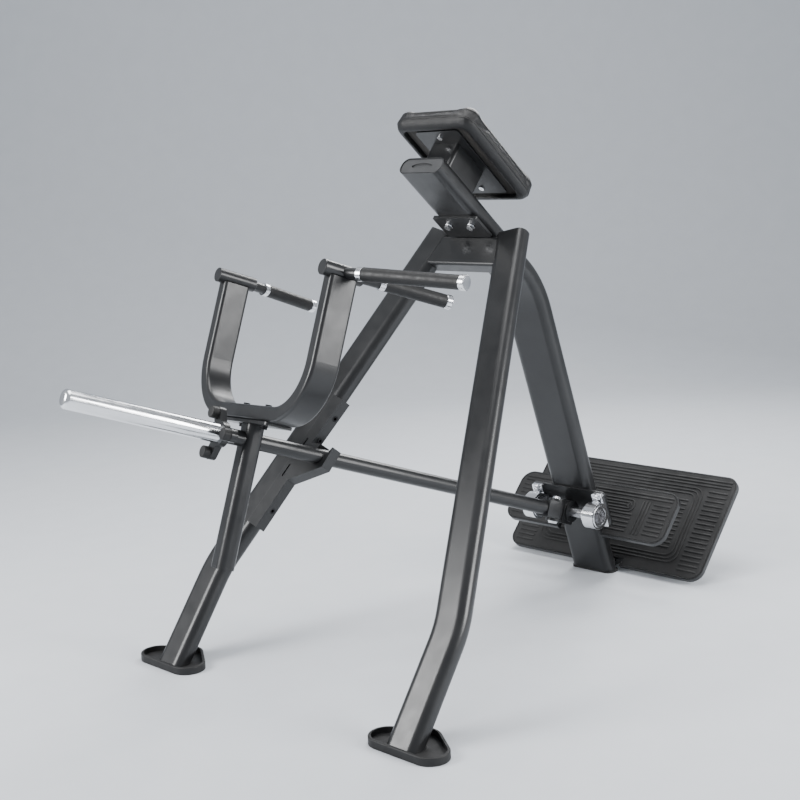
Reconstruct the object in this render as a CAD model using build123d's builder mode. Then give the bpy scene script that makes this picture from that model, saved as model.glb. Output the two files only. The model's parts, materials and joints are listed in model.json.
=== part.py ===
from build123d import *
from math import cos, radians, sin, tan
import os

# Incline lever row machine, plate loaded. Millimetres.
# Origin: on the floor, under the lower end of the spine, in the centre plane.
# +X points to the user's end (foot plates), -X to the weight end, +Z up.
# "right" is +Y and "left" is -Y, as the user on the foot plates sees them.

# ---------------------------------------------------------------- driving sizes
# Tubes
TUBE_WALL = 3.0
TUBE_CORNER = 22.0          # corner radius of the wide frame tubes

# Spine: one bent tube, from the floor up to the chest pad
SPINE_WIDTH = 145.0
SPINE_DEPTH = 50.0
SPINE_LEAN = 19.85          # degrees from upright
SPINE_BEND_HEIGHT = 933.0
SPINE_BEND_RADIUS = 300.0
NECK_RISE = 40.0            # degrees above level
NECK_LENGTH = 534.0         # from the bend's corner to the open end
SPINE_SOLE = 6.0            # rubber under the spine
SPINE_SOLE_EDGE = 3.0
END_CAP_DEPTH = 10.0
END_CAP_SINK = 2.0          # the cap sits this far inside the tube's end
DIMPLE_LENGTH = 70.0
DIMPLE_WIDTH = 18.0
DIMPLE_DEPTH = 4.0

# Front frame: two legs in one leaning plane
FRAME_LEAN = 36.8           # degrees from upright
FRAME_FOOT_X = -1322.0      # middle of the leg plane at the reference height
FRAME_FOOT_Z = 20.0
LEG_WIDTH = 90.0
LEG_DEPTH = 50.0
LEG_SPREAD = 15.55          # degrees, upper leg from the centre plane
LEG_FOOT_Y = 418.5
LEG_BEND_UP = 264.0         # distance up the leg plane to the bend
LEG_BEND_RADIUS = 300.0
LEG_LENGTH = 1325.0         # distance up the leg plane to the cut top
LEG_CAP_THICK = 3.0
CROSSBEAM_WIDTH = 90.0
CROSSBEAM_SET_BACK = 2.0    # behind the legs' faces, front and back
CROSSBEAM_CORNER = 8.0

# Rubber feet
FOOT_CENTRE_Y = 427.0
FOOT_FRONT_X = -1377.0
FOOT_REACH = 134.0          # front to back
FOOT_FRONT_RADIUS = 45.0
FOOT_FRONT_SPREAD = 65.0
FOOT_BACK_RADIUS = 50.0
FOOT_HEIGHT = 20.0
FOOT_SOLE = 6.0
FOOT_RIM = 7.0
FOOT_EDGE = 3.0

# Saddle plate under the neck
SADDLE_LENGTH = 86.0
SADDLE_WIDTH = 152.0
SADDLE_THICK = 8.0
SADDLE_CORNER = 6.0
SADDLE_BOLT_GRIP = 24.0
SADDLE_BOLT_SPREAD = 78.0
SADDLE_BOLT_UP = 51.0       # from the crossbeam's front face

# Chest pad
PAD_LENGTH = 345.0
PAD_WIDTH = 272.0
PAD_THICK = 66.0
PAD_CORNER = 38.0
PAD_EDGE = 26.0
PAD_UP_NECK = 412.0         # pad centre, measured along the neck
PAD_LIFT = 129.0            # pad centre above the neck's centre line
PAD_RECESS = 18.0
PAD_RECESS_MARGIN = 28.0
PAD_RECESS_CORNER = 16.0
PAD_BOARD_GAP = 3.0
PAD_BOARD_THICK = 6.0
PAD_PLATE_LENGTH = 262.0
PAD_PLATE_WIDTH = 148.0
PAD_PLATE_THICK = 5.0
POST_UP_NECK = 430.0        # post centre, measured along the neck
POST_LENGTH = 128.0
POST_WIDTH = 96.0
POST_WALL = 4.0
POST_CORNER = 10.0
PAD_SCREW_SPREAD = 214.0

# Main pivot
PIVOT_UP_SPINE = 263.0      # axle, measured up the spine
AXLE_RADIUS = 15.0
AXLE_LENGTH = 262.0
AXLE_SOCKET = 8.0
BEARING_SPREAD = 222.0      # between the two pillow blocks
BEARING_HEIGHT = 41.0       # axle above the pillow block's base
BEARING_RADIUS = 40.0
BEARING_WIDTH = 38.0
BEARING_BASE_LENGTH = 112.0
BEARING_BASE_THICK = 12.0
BEARING_CORNER = 6.0
BEARING_RIB = 6.0
BEARING_RIB_HEIGHT = 2.0
BEARING_BOLT_SPREAD = 90.0
RACE_RADIUS = 27.0          # outside of the outer race
RACE_SPLIT = 20.0           # outside of the inner race
INNER_RACE_WIDTH = 48.0
COLLAR_RADIUS = 24.0
COLLAR_WIDTH = 10.0
MOUNT_PLATE_THICK = 6.0
MOUNT_PLATE_WIDTH = 264.0
MOUNT_PLATE_LENGTH = 116.0
RUNNING_CLEARANCE = 0.05
BODY_CLEARANCE = 0.3

# Knuckle between axle and lever
KNUCKLE_RADIUS = 32.0
KNUCKLE_WIDTH = 60.0
KNUCKLE_SHOULDER = 18.0
POCKET_GAP = 1.5
PIN_AHEAD = 48.0            # swivel pin in front of the axle
PIN_DROP = 6.0              # and below it
PIN_RADIUS = 10.0
PIN_HEAD_RADIUS = 16.0
PIN_HEAD_HEIGHT = 6.5
PIN_HEAD_TAPER = 30.0
EAR_THICK = 8.0
EAR_WIDTH = 46.0

# Lever
LEVER_PITCH = 20.6          # degrees above level at rest
LEVER_SWING = 13.5          # degrees to the right at rest
LEVER_RADIUS = 21.0
LEVER_WALL = 3.5
END_BLOCK_HEIGHT = 52.0
END_BLOCK_WIDTH = 48.0
END_BLOCK_REACH = 46.0
YOKE_AT = 1061.0            # yoke plane, from the swivel pin along the lever
FLANGE_AT = 1136.0
FLANGE_THICK = 18.0
FLANGE_HUB_RADIUS = 33.0
FLANGE_LOBE_REACH = 60.0
FLANGE_LOBE_RADIUS = 17.0
BUMPER_RADIUS = 16.0
BUMPER_HEIGHT = 20.0
BUMPER_EDGE = 3.0
SLEEVE_RADIUS = 25.0
SLEEVE_WALL = 4.0
SLEEVE_LENGTH = 420.0
SLEEVE_END_ROUND = 12.0

# Stop post, an upright tube that the lever passes through
STOP_POST_WIDTH = 60.0
STOP_POST_DEPTH = 50.0
STOP_POST_CORNER = 18.0
STOP_POST_TOP = 42.0
STOP_POST_DROP = 330.0
STOP_CAP_THICK = 5.0

# Yoke
YOKE_PLATE_LENGTH = 280.0
YOKE_PLATE_WIDTH = 80.0
YOKE_PLATE_THICK = 8.0
YOKE_PLATE_CORNER = 12.0
YOKE_TUBE_WIDTH = 78.0
YOKE_TUBE_DEPTH = 40.0
YOKE_TUBE_CORNER = 9.0
YOKE_SPAN = 566.0           # between the two arms' centre lines
YOKE_BEND_RADIUS = 140.0
YOKE_BOLT_SPREAD = 120.0
BOSS_UP = 437.0             # boss centre above the lever's centre line
BOSS_RADIUS = 20.0
BOSS_LENGTH = 116.0
BOSS_CHAMFER = 1.5
HANDLE_RADIUS = 14.0
HANDLE_WALL = 3.0
GRIP_RADIUS = 17.5
GRIP_RING_RADIUS = 18.0
GRIP_RING_LENGTH = 14.0
GRIP_CAP_RADIUS = 18.5
GRIP_CAP_LENGTH = 16.0
# name: angle outward from the lever's own direction, start of ring, end of cap
HANDLES = {"narrow": (11.6, 100.0, 297.0), "wide": (68.5, 52.0, 360.0)}

# Rest hook on the right leg
HOOK_MIDDLE = 601.0         # distance up the leg plane to the bar's middle
HOOK_BAR_LENGTH = 412.0
HOOK_BAR_WIDTH = 28.0       # inward from the leg's inner side
HOOK_BAR_DEPTH = 28.0
HOOK_PLATE_THICK = 6.0
HOOK_LIP = 14.0             # the plate laps this far over the leg's front
HOOK_BOLTS = (-147.0, 80.0, 152.0)
HOOK_BOLT_SINK = 10.0
HOOK_SLOTS = (-35.0, 50.0)
SLOT_LENGTH = 40.0
SLOT_WIDTH = 5.0
SEAT_CLEARANCE = 0.5
SEAT_EXIT_TILT = 23.8       # degrees, the seat opens up and inward
SEAT_EXIT_LENGTH = 90.0
# hook corners from the lever's centre: inward, up
HOOK_TIP = (39.0, 26.0)
HOOK_TOE = (28.0, -32.0)
HOOK_HEEL = (-76.0, -86.0)
HOOK_SHOULDER = (-46.0, 30.0)

# Foot plates
TREAD_RISE = 45.9           # degrees from level
TRAY_THICK = 5.0
MAT_THICK = 9.0
MAT_INSET = 6.0
MAT_GAP = 1.0
PLATE_CORNER = 42.0
NOTCH_CLEARANCE = 6.0
LARGE_PLATE_WIDTH = 720.0
LARGE_PLATE_LENGTH = 366.0
LARGE_PLATE_X = 14.0        # lower edge of the tread surface
LARGE_PLATE_Z = 18.0
LARGE_NOTCH = 26.0
SMALL_PLATE_WIDTH = 590.0
SMALL_PLATE_LENGTH = 179.0
SMALL_PLATE_X = -88.0
SMALL_PLATE_Z = 143.0
SMALL_NOTCH = 76.0
GUSSET_THICK = 6.0
GUSSET_SPREAD = 80.0
GUSSET_LOW = 120.0
GUSSET_HIGH = 172.0
GUSSET_START = 36.0

# Rear support, under the large foot plate
REAR_PAD_THICK = 6.0
RAIL_WIDTH = 90.0
RAIL_THICK = 10.0
REAR_BAR_X = 190.0
REAR_BAR_WIDTH = 60.0
REAR_BAR_HEIGHT = 50.0
REAR_BAR_LENGTH = 380.0
REAR_BAR_CORNER = 8.0
REAR_PAD_LENGTH = 70.0
REAR_CAP_THICK = 3.0
UPRIGHT_SIZE = 50.0
UPRIGHT_CORNER = 6.0
UPRIGHT_SPREAD = 260.0

# Fasteners: shank radius, head radius, head height
M12 = (6.0, 10.0, 8.0)
M10 = (5.0, 8.5, 7.0)
PAD_SCREW = (4.0, 7.5, 4.0)
HEX_SOCKET = 0.6            # socket of a button head, as a share of the shank
SOCKET_BELOW_FACE = 1.0
WASHER_THICK = 2.0
WASHER_EDGE = 1.5

SIDES = {"left": -1, "right": 1}


# ---------------------------------------------------------------- reference planes
across = Vector(0, 1, 0)


def leaning(angle):
    """Unit vector in the centre plane, leaning toward -X by angle from upright."""
    return Vector(-sin(radians(angle)), 0, cos(radians(angle)))


# Spine: local y up the spine, local z out of its front face
spine_up = leaning(SPINE_LEAN)
spine_normal = spine_up.cross(across)
spine_bend = spine_up * (SPINE_BEND_HEIGHT / spine_up.Z)
spine_face = Plane(origin=spine_normal * (SPINE_DEPTH / 2), x_dir=-across, z_dir=spine_normal)

# Neck: local x to the right, local y up the neck, local z toward the pad
neck_up = leaning(90 - NECK_RISE)
neck_plane = Plane(origin=spine_bend, x_dir=across, z_dir=across.cross(neck_up))
neck_top = neck_plane.offset(SPINE_DEPTH / 2)
neck_underside = neck_plane.offset(-SPINE_DEPTH / 2)

# Front frame: local x to the right, local y up the legs, local z to the rear
frame_up = leaning(-FRAME_LEAN)
frame_plane = Plane(
    origin=(FRAME_FOOT_X, 0, FRAME_FOOT_Z), x_dir=across, z_dir=across.cross(frame_up)
)
frame_front = frame_plane.offset(-LEG_DEPTH / 2)


def leg_middle(up):
    """Distance of the upper leg's centre line from the centre plane."""
    return LEG_FOOT_Y - (up - LEG_BEND_UP) * tan(radians(LEG_SPREAD))


# Pivot and lever
pivot = spine_up * PIVOT_UP_SPINE + spine_normal * (
    SPINE_DEPTH / 2 + MOUNT_PLATE_THICK + BEARING_HEIGHT
)
pivot_plane = Plane(origin=pivot, x_dir=spine_up, z_dir=across)
knuckle_ahead = leaning(90 - LEVER_PITCH)
knuckle_up = leaning(-LEVER_PITCH)
swivel = pivot + knuckle_ahead * PIN_AHEAD - knuckle_up * PIN_DROP
lever_ahead = knuckle_ahead * cos(radians(LEVER_SWING)) + across * sin(radians(LEVER_SWING))
lever_side = knuckle_up.cross(lever_ahead)


def lever_plane(along):
    """Across the lever: local x to the left, local y up, local z along the lever."""
    return Plane(origin=swivel + lever_ahead * along, x_dir=lever_side, z_dir=lever_ahead)


def swivel_plane(height, ahead=lever_ahead):
    """Across the swivel pin: local x along the part, local z up the pin."""
    return Plane(origin=swivel + knuckle_up * height, x_dir=ahead, z_dir=knuckle_up)


def place(plane, x=0.0, y=0.0, z=0.0):
    """The same plane moved within itself."""
    return Plane(origin=plane.from_local_coords(Vector(x, y, z)), x_dir=plane.x_dir, z_dir=plane.z_dir)


def save(builder, name):
    """Label one piece and write it."""
    builder.part.label = name
    export_step(builder.part, f"parts/{name}.step")


def wide_section(width, depth, corner, wall):
    """Sketch of a rectangular tube's wall."""
    RectangleRounded(width, depth, corner)
    RectangleRounded(width - 2 * wall, depth - 2 * wall, corner - wall, mode=Mode.SUBTRACT)


def hex_bolt(plane, size, grip, nut=False):
    """Bolt whose head stands on the plane and whose shank runs down local -z."""
    shank_radius, head_radius, head_height = size
    with BuildSketch(plane) as washer:
        Circle(head_radius + WASHER_EDGE)
    extrude(washer.sketch, amount=WASHER_THICK)
    with BuildSketch(plane.offset(WASHER_THICK)) as head:
        RegularPolygon(head_radius, 6)
    extrude(head.sketch, amount=head_height)
    with BuildSketch(plane) as shank:
        Circle(shank_radius)
    extrude(shank.sketch, amount=-grip)
    if nut:
        with BuildSketch(plane.offset(-grip)) as nut_outline:
            RegularPolygon(head_radius, 6)
        extrude(nut_outline.sketch, amount=-head_height)


os.makedirs("parts", exist_ok=True)

# ---------------------------------------------------------------- spine and neck
frame_back = frame_plane.z_dir
saddle_start = (frame_front.origin - neck_underside.origin).dot(frame_back) / neck_up.dot(frame_back)
saddle_bolt_up = saddle_start + SADDLE_BOLT_UP

with BuildPart() as spine_tube:
    with BuildLine(Plane.XZ) as spine_path:
        FilletPolyline(
            (-spine_up.X * SPINE_DEPTH, -spine_up.Z * SPINE_DEPTH),
            (spine_bend.X, spine_bend.Z),
            (spine_bend.X + neck_up.X * NECK_LENGTH, spine_bend.Z + neck_up.Z * NECK_LENGTH),
            radius=SPINE_BEND_RADIUS,
        )
    with BuildSketch(Plane(origin=-spine_up * SPINE_DEPTH, x_dir=across, z_dir=spine_up)):
        wide_section(SPINE_WIDTH, SPINE_DEPTH, TUBE_CORNER, TUBE_WALL)
    sweep(path=spine_path.wire())
    split(bisect_by=Plane.XY.offset(SPINE_SOLE), keep=Keep.TOP)
    # holes for the two saddle bolts, through the lower wall only
    with BuildSketch(place(neck_underside, 0, saddle_bolt_up)):
        with GridLocations(SADDLE_BOLT_SPREAD, 0, 2, 1):
            Circle(M12[0])
    extrude(amount=TUBE_WALL, mode=Mode.SUBTRACT)
save(spine_tube, "spine_tube")

neck_mouth = Plane(origin=spine_bend + neck_up * (NECK_LENGTH - END_CAP_SINK), x_dir=across, z_dir=neck_up)
with BuildPart() as spine_end_cap:
    with BuildSketch(neck_mouth):
        RectangleRounded(
            SPINE_WIDTH - 2 * TUBE_WALL, SPINE_DEPTH - 2 * TUBE_WALL, TUBE_CORNER - TUBE_WALL
        )
    extrude(amount=-END_CAP_DEPTH)
    with BuildSketch(neck_mouth):
        Ellipse(DIMPLE_LENGTH / 2, DIMPLE_WIDTH / 2)
    extrude(amount=-DIMPLE_DEPTH, mode=Mode.SUBTRACT)
save(spine_end_cap, "spine_end_cap")

with BuildPart() as spine_floor_pad:
    with BuildSketch():
        RectangleRounded(
            SPINE_DEPTH / spine_up.Z + 2 * SPINE_SOLE_EDGE,
            SPINE_WIDTH + 2 * SPINE_SOLE_EDGE,
            TUBE_CORNER,
        )
    extrude(amount=SPINE_SOLE)
save(spine_floor_pad, "spine_floor_pad")

# ---------------------------------------------------------------- front frame
right_leg_plane = Plane(
    origin=frame_plane.from_local_coords(Vector(leg_middle(HOOK_MIDDLE), HOOK_MIDDLE, 0)),
    x_dir=across * cos(radians(LEG_SPREAD)) + frame_up * sin(radians(LEG_SPREAD)),
    z_dir=frame_back,
)
leg_side = LEG_WIDTH / 2
hook_bolt_z = -LEG_DEPTH / 2 + HOOK_BAR_DEPTH / 2
hook_bolt_plane = Plane(
    origin=right_leg_plane.from_local_coords(Vector(-leg_side - HOOK_BAR_WIDTH, 0, hook_bolt_z)),
    x_dir=right_leg_plane.y_dir,
    z_dir=-right_leg_plane.x_dir,
)


def leg_route(side):
    """Centre line of one leg, drawn from below the floor upward."""
    return FilletPolyline(
        (side * LEG_FOOT_Y, -LEG_WIDTH),
        (side * LEG_FOOT_Y, LEG_BEND_UP),
        (side * leg_middle(LEG_LENGTH), LEG_LENGTH),
        radius=LEG_BEND_RADIUS,
    )


def leg_base_plane(side):
    """Across the start of the leg's centre line."""
    return Plane(
        origin=frame_plane.from_local_coords(Vector(side * LEG_FOOT_Y, -LEG_WIDTH, 0)),
        x_dir=across,
        z_dir=frame_up,
    )


leg_cores = {}
for name, side in SIDES.items():
    with BuildPart() as core:
        with BuildLine(frame_plane) as leg_path:
            leg_route(side)
        with BuildSketch(leg_base_plane(side)):
            RectangleRounded(LEG_WIDTH, LEG_DEPTH, TUBE_CORNER)
        sweep(path=leg_path.wire())
    leg_cores[name] = core.part

    with BuildPart() as leg:
        with BuildLine(frame_plane) as leg_path:
            leg_route(side)
        with BuildSketch(leg_base_plane(side)):
            wide_section(LEG_WIDTH, LEG_DEPTH, TUBE_CORNER, TUBE_WALL)
        sweep(path=leg_path.wire())
        split(bisect_by=Plane.XY.offset(FOOT_SOLE), keep=Keep.TOP)
        if name == "right":
            with BuildSketch(hook_bolt_plane):
                with Locations([(along, 0) for along in HOOK_BOLTS]):
                    Circle(M10[0])
            extrude(amount=-HOOK_BAR_WIDTH - TUBE_CORNER, mode=Mode.SUBTRACT)
    save(leg, f"{name}_leg")

    with BuildPart() as foot:
        with BuildSketch() as foot_outline:
            front_x = FOOT_FRONT_X + FOOT_FRONT_RADIUS
            back_x = FOOT_FRONT_X + FOOT_REACH - FOOT_BACK_RADIUS
            foot_y = side * FOOT_CENTRE_Y
            with Locations((front_x, foot_y - FOOT_FRONT_SPREAD), (front_x, foot_y + FOOT_FRONT_SPREAD)):
                Circle(FOOT_FRONT_RADIUS)
            with Locations((back_x, foot_y)):
                Circle(FOOT_BACK_RADIUS)
            make_hull()
        extrude(amount=FOOT_HEIGHT)
        fillet(foot.edges().group_by(Axis.Z)[-1], FOOT_EDGE)
        with BuildSketch(Plane.XY.offset(FOOT_SOLE)):
            add(foot_outline.sketch_local)
            offset(amount=-FOOT_RIM, mode=Mode.REPLACE)
        extrude(amount=FOOT_HEIGHT, mode=Mode.SUBTRACT)
    save(foot, f"{name}_foot")

with BuildPart() as leg_top_caps:
    for side in SIDES.values():
        top = Plane(
            origin=frame_plane.from_local_coords(Vector(side * leg_middle(LEG_LENGTH), LEG_LENGTH, 0)),
            x_dir=across * cos(radians(LEG_SPREAD)) + frame_up * (side * sin(radians(LEG_SPREAD))),
            z_dir=frame_up * cos(radians(LEG_SPREAD)) - across * (side * sin(radians(LEG_SPREAD))),
        )
        with BuildSketch(top):
            RectangleRounded(LEG_WIDTH, LEG_DEPTH, TUBE_CORNER)
        extrude(amount=LEG_CAP_THICK)
save(leg_top_caps, "leg_top_caps")

# The beam's rounded top rear corner just meets the underside of the neck
crossbeam_depth = LEG_DEPTH - 2 * CROSSBEAM_SET_BACK
corner_from_middle = crossbeam_depth / 2 - CROSSBEAM_CORNER
neck_slope = frame_up.dot(neck_plane.z_dir)
corner_start = frame_plane.from_local_coords(Vector(0, 0, corner_from_middle)) - neck_underside.origin
corner_up = (-CROSSBEAM_CORNER - corner_start.dot(neck_plane.z_dir)) / neck_slope
crossbeam_middle = corner_up + CROSSBEAM_CORNER - CROSSBEAM_WIDTH / 2

with BuildPart() as crossbeam:
    with BuildSketch(
        Plane(
            origin=frame_plane.from_local_coords(Vector(0, crossbeam_middle, 0)),
            x_dir=frame_up,
            z_dir=across,
        )
    ):
        wide_section(CROSSBEAM_WIDTH, crossbeam_depth, CROSSBEAM_CORNER, TUBE_WALL)
    extrude(amount=leg_middle(crossbeam_middle), both=True)
    add(leg_cores["left"], mode=Mode.SUBTRACT)
    add(leg_cores["right"], mode=Mode.SUBTRACT)
save(crossbeam, "crossbeam")

with BuildPart() as saddle_plate:
    with BuildSketch(place(neck_underside, 0, saddle_start + SADDLE_LENGTH / 2)):
        RectangleRounded(SADDLE_WIDTH, SADDLE_LENGTH, SADDLE_CORNER)
    extrude(amount=-SADDLE_THICK)
    with BuildSketch(place(neck_underside, 0, saddle_bolt_up)):
        with GridLocations(SADDLE_BOLT_SPREAD, 0, 2, 1):
            Circle(M12[0])
    extrude(amount=-SADDLE_THICK, mode=Mode.SUBTRACT)
save(saddle_plate, "saddle_plate")

with BuildPart() as saddle_bolts:
    for side in SIDES.values():
        centre = place(neck_underside, side * SADDLE_BOLT_SPREAD / 2, saddle_bolt_up, -SADDLE_THICK)
        hex_bolt(Plane(origin=centre.origin, x_dir=across, z_dir=-centre.z_dir), M12, SADDLE_BOLT_GRIP)
save(saddle_bolts, "saddle_bolts")

# ---------------------------------------------------------------- chest pad
pad_middle = place(neck_plane, 0, PAD_UP_NECK, PAD_LIFT)
pad_back = pad_middle.offset(-PAD_THICK / 2)
recess_top = pad_back.offset(PAD_RECESS)
board_back = recess_top.offset(-PAD_BOARD_THICK)
plate_back = board_back.offset(-PAD_PLATE_THICK)

with BuildPart() as chest_pad:
    with BuildSketch(pad_back):
        RectangleRounded(PAD_WIDTH, PAD_LENGTH, PAD_CORNER)
    extrude(amount=PAD_THICK)
    upper = chest_pad.faces().sort_by(Axis(pad_back.origin, pad_back.z_dir))[-1]
    lower = chest_pad.faces().sort_by(Axis(pad_back.origin, pad_back.z_dir))[0]
    fillet(upper.edges() + lower.edges(), PAD_EDGE)
    with BuildSketch(pad_back):
        RectangleRounded(
            PAD_WIDTH - 2 * PAD_RECESS_MARGIN, PAD_LENGTH - 2 * PAD_RECESS_MARGIN, PAD_RECESS_CORNER
        )
    extrude(amount=PAD_RECESS, mode=Mode.SUBTRACT)
save(chest_pad, "chest_pad")

with BuildPart() as pad_board:
    with BuildSketch(board_back):
        RectangleRounded(
            PAD_WIDTH - 2 * PAD_RECESS_MARGIN - 2 * PAD_BOARD_GAP,
            PAD_LENGTH - 2 * PAD_RECESS_MARGIN - 2 * PAD_BOARD_GAP,
            PAD_RECESS_CORNER - PAD_BOARD_GAP,
        )
        with GridLocations(0, PAD_SCREW_SPREAD, 1, 2):
            Circle(PAD_SCREW[0], mode=Mode.SUBTRACT)
    extrude(amount=PAD_BOARD_THICK)
save(pad_board, "pad_board")

with BuildPart() as pad_mounting_plate:
    with BuildSketch(plate_back):
        RectangleRounded(PAD_PLATE_WIDTH, PAD_PLATE_LENGTH, POST_CORNER)
        with GridLocations(0, PAD_SCREW_SPREAD, 1, 2):
            Circle(PAD_SCREW[0], mode=Mode.SUBTRACT)
    extrude(amount=PAD_PLATE_THICK)
save(pad_mounting_plate, "pad_mounting_plate")

with BuildPart() as pad_screws:
    for end in (-1, 1):
        spot = place(plate_back, 0, end * PAD_SCREW_SPREAD / 2)
        with BuildSketch(spot):
            Circle(PAD_SCREW[0])
        extrude(amount=PAD_PLATE_THICK + PAD_BOARD_THICK)
        with BuildSketch(spot):
            Circle(PAD_SCREW[1])
        extrude(amount=-PAD_SCREW[2])
        with BuildSketch(spot.offset(-PAD_SCREW[2])):
            RegularPolygon(PAD_SCREW[0] * HEX_SOCKET, 6)
        extrude(amount=PAD_SCREW[2] * HEX_SOCKET, mode=Mode.SUBTRACT)
save(pad_screws, "pad_screws")

with BuildPart() as pad_post:
    with BuildSketch(place(neck_top, 0, POST_UP_NECK)):
        wide_section(POST_WIDTH, POST_LENGTH, POST_CORNER, POST_WALL)
    extrude(amount=(plate_back.origin - neck_top.origin).dot(neck_top.z_dir))
save(pad_post, "pad_post")

# ---------------------------------------------------------------- main pivot, fixed pieces
mount_plate_front = place(spine_face, 0, PIVOT_UP_SPINE, MOUNT_PLATE_THICK)

with BuildPart() as bearing_mount_plate:
    with BuildSketch(place(spine_face, 0, PIVOT_UP_SPINE)):
        RectangleRounded(MOUNT_PLATE_WIDTH, MOUNT_PLATE_LENGTH, POST_CORNER)
        with GridLocations(BEARING_SPREAD, BEARING_BOLT_SPREAD, 2, 2):
            Circle(M10[0], mode=Mode.SUBTRACT)
    extrude(amount=MOUNT_PLATE_THICK)
save(bearing_mount_plate, "bearing_mount_plate")

for name, side in SIDES.items():
    with BuildPart() as housing:
        with BuildSketch(place(mount_plate_front, -side * BEARING_SPREAD / 2)):
            RectangleRounded(BEARING_WIDTH, BEARING_BASE_LENGTH, BEARING_CORNER)
            with GridLocations(0, BEARING_BOLT_SPREAD, 1, 2):
                Circle(M10[0], mode=Mode.SUBTRACT)
        extrude(amount=BEARING_BASE_THICK)
        middle = pivot_plane.offset(side * BEARING_SPREAD / 2)
        with BuildSketch(middle):
            Circle(BEARING_RADIUS)
        extrude(amount=BEARING_WIDTH / 2, both=True)
        with BuildSketch(middle):
            Circle(RACE_RADIUS + BEARING_RIB)
        extrude(amount=BEARING_WIDTH / 2 + BEARING_RIB_HEIGHT, both=True)
        with BuildSketch(middle):
            Circle(RACE_RADIUS)
        extrude(amount=BEARING_WIDTH, both=True, mode=Mode.SUBTRACT)
    save(housing, f"{name}_bearing_housing")

with BuildPart() as bearing_outer_races:
    for side in SIDES.values():
        with BuildSketch(pivot_plane.offset(side * BEARING_SPREAD / 2)):
            Circle(RACE_RADIUS)
            Circle(RACE_SPLIT + RUNNING_CLEARANCE, mode=Mode.SUBTRACT)
        extrude(amount=BEARING_WIDTH / 2, both=True)
save(bearing_outer_races, "bearing_outer_races")

with BuildPart() as bearing_bolts:
    for side in SIDES.values():
        for end in (-1, 1):
            hex_bolt(
                place(
                    mount_plate_front,
                    side * BEARING_SPREAD / 2,
                    end * BEARING_BOLT_SPREAD / 2,
                    BEARING_BASE_THICK,
                ),
                M10,
                BEARING_BASE_THICK + MOUNT_PLATE_THICK,
                nut=True,
            )
save(bearing_bolts, "bearing_bolts")

# ---------------------------------------------------------------- foot plates
PLATES = {
    "large": (
        LARGE_PLATE_WIDTH,
        LARGE_PLATE_LENGTH,
        Vector(LARGE_PLATE_X, 0, LARGE_PLATE_Z),
        LARGE_NOTCH,
    ),
    "small": (
        SMALL_PLATE_WIDTH,
        SMALL_PLATE_LENGTH,
        Vector(SMALL_PLATE_X, 0, SMALL_PLATE_Z),
        SMALL_NOTCH,
    ),
}
tread_up = leaning(TREAD_RISE - 90)
notch_width = SPINE_WIDTH + 2 * NOTCH_CLEARANCE
tray_back = MAT_THICK + TRAY_THICK
tread_planes = {}

for name, (width, length, lower_edge, notch) in PLATES.items():
    # local y up the slope, local z down behind the tread surface
    tread = Plane(origin=lower_edge, x_dir=across, z_dir=across.cross(tread_up))
    tread_planes[name] = tread
    outline_plane = place(tread, 0, length / 2)
    with BuildSketch(outline_plane) as outline:
        RectangleRounded(width, length, PLATE_CORNER)
        with Locations((0, (notch - length - notch) / 2)):
            Rectangle(notch_width, 2 * notch, mode=Mode.SUBTRACT)
    with BuildSketch(outline_plane) as inset:
        add(outline.sketch_local)
        offset(amount=-MAT_INSET, mode=Mode.REPLACE)
    with BuildSketch(outline_plane) as rim_inside:
        add(outline.sketch_local)
        offset(amount=-(MAT_INSET - MAT_GAP), mode=Mode.REPLACE)

    with BuildPart() as tray:
        with BuildSketch(outline_plane):
            add(outline.sketch_local)
        extrude(amount=tray_back)
        with BuildSketch(outline_plane):
            add(rim_inside.sketch_local)
        extrude(amount=MAT_THICK, mode=Mode.SUBTRACT)
    save(tray, f"{name}_foot_tray")

    with BuildPart() as mat:
        with BuildSketch(outline_plane):
            add(inset.sketch_local)
        extrude(amount=MAT_THICK)
    save(mat, f"{name}_foot_mat")


def behind_tread(name, up):
    """Point on the underside of a tray, as (x, z)."""
    point = tread_planes[name].from_local_coords(Vector(0, up, tray_back))
    return (point.X, point.Z)


def behind_spine(height):
    """Point on the spine's rear face, as (x, z)."""
    x = (spine_normal.Z * height + SPINE_DEPTH / 2) / -spine_normal.X
    return (x, height)


with BuildPart() as small_plate_gussets:
    for side in SIDES.values():
        with BuildSketch(Plane.XZ.offset(-side * GUSSET_SPREAD / 2)):
            Polygon(
                behind_spine(GUSSET_LOW),
                behind_spine(GUSSET_HIGH),
                behind_tread("small", SMALL_NOTCH + NOTCH_CLEARANCE),
                behind_tread("small", SMALL_PLATE_LENGTH - NOTCH_CLEARANCE),
                align=None,
            )
        extrude(amount=GUSSET_THICK / 2, both=True)
save(small_plate_gussets, "small_plate_gussets")

# ---------------------------------------------------------------- rear support
rail_top = REAR_PAD_THICK + RAIL_THICK
bar_front = REAR_BAR_X - REAR_BAR_WIDTH / 2
bar_top = REAR_PAD_THICK + REAR_BAR_HEIGHT
bar_front_up = (bar_front - behind_tread("large", 0)[0]) / tread_up.X
spine_back = Plane(origin=-spine_normal * (SPINE_DEPTH / 2), x_dir=across, z_dir=-spine_normal)

with BuildPart() as rear_rail:
    with BuildSketch(Plane.XY.offset(REAR_PAD_THICK)):
        Rectangle(2 * bar_front, RAIL_WIDTH)
    extrude(amount=RAIL_THICK)
    split(bisect_by=spine_back, keep=Keep.TOP)
save(rear_rail, "rear_rail")

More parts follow.
